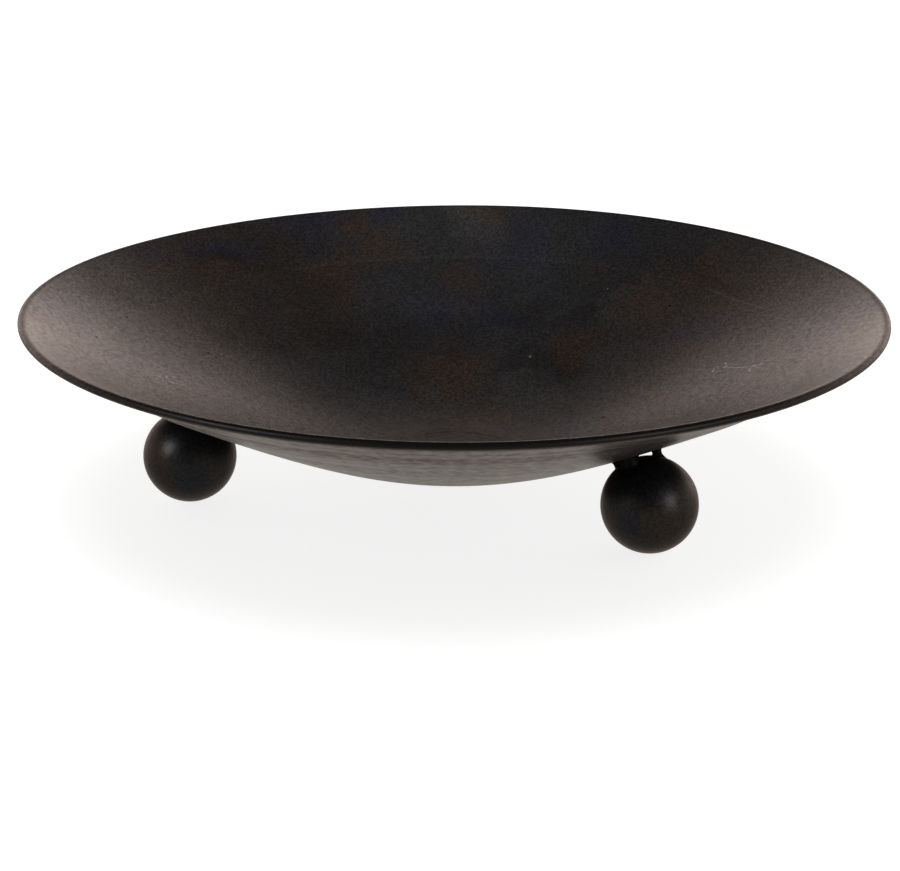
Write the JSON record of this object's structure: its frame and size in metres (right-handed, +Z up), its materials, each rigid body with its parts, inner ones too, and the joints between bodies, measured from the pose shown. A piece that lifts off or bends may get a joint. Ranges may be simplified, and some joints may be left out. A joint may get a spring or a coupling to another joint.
{
  "type": "fire bowl",
  "caption": "Wide shallow dished sheet-steel fire bowl with a curled rim and a dark oiled patina, standing on hollow ball feet welded under its wall.",
  "frame": {"origin": "on the bowl's axis at floor level, so the three balls rest on z = 0", "axes": "+Z up along the bowl's axis; the right foot lies between +X and -Y, the left foot near -X and the rear foot near +Y"},
  "size_m": [0.5998, 0.5998, 0.1319],
  "materials": {
    "patinated_steel": "satin",
    "blackened_steel": "satin",
    "weld_metal": "matte"
  },
  "bodies": {
    "root": {"bowl": "patinated_steel", "foot_rear_upper_shell": "blackened_steel", "foot_rear_lower_shell": "blackened_steel", "foot_rear_weld_inner": "weld_metal", "foot_rear_weld_outer_a": "weld_metal", "foot_rear_weld_outer_b": "weld_metal", "foot_left_upper_shell": "blackened_steel", "foot_left_lower_shell": "blackened_steel", "foot_left_weld_inner": "weld_metal", "foot_left_weld_outer_a": "weld_metal", "foot_left_weld_outer_b": "weld_metal", "foot_right_upper_shell": "blackened_steel", "foot_right_lower_shell": "blackened_steel", "foot_right_weld_inner": "weld_metal", "foot_right_weld_outer_a": "weld_metal", "foot_right_weld_outer_b": "weld_metal"}
  },
  "joints": []
}
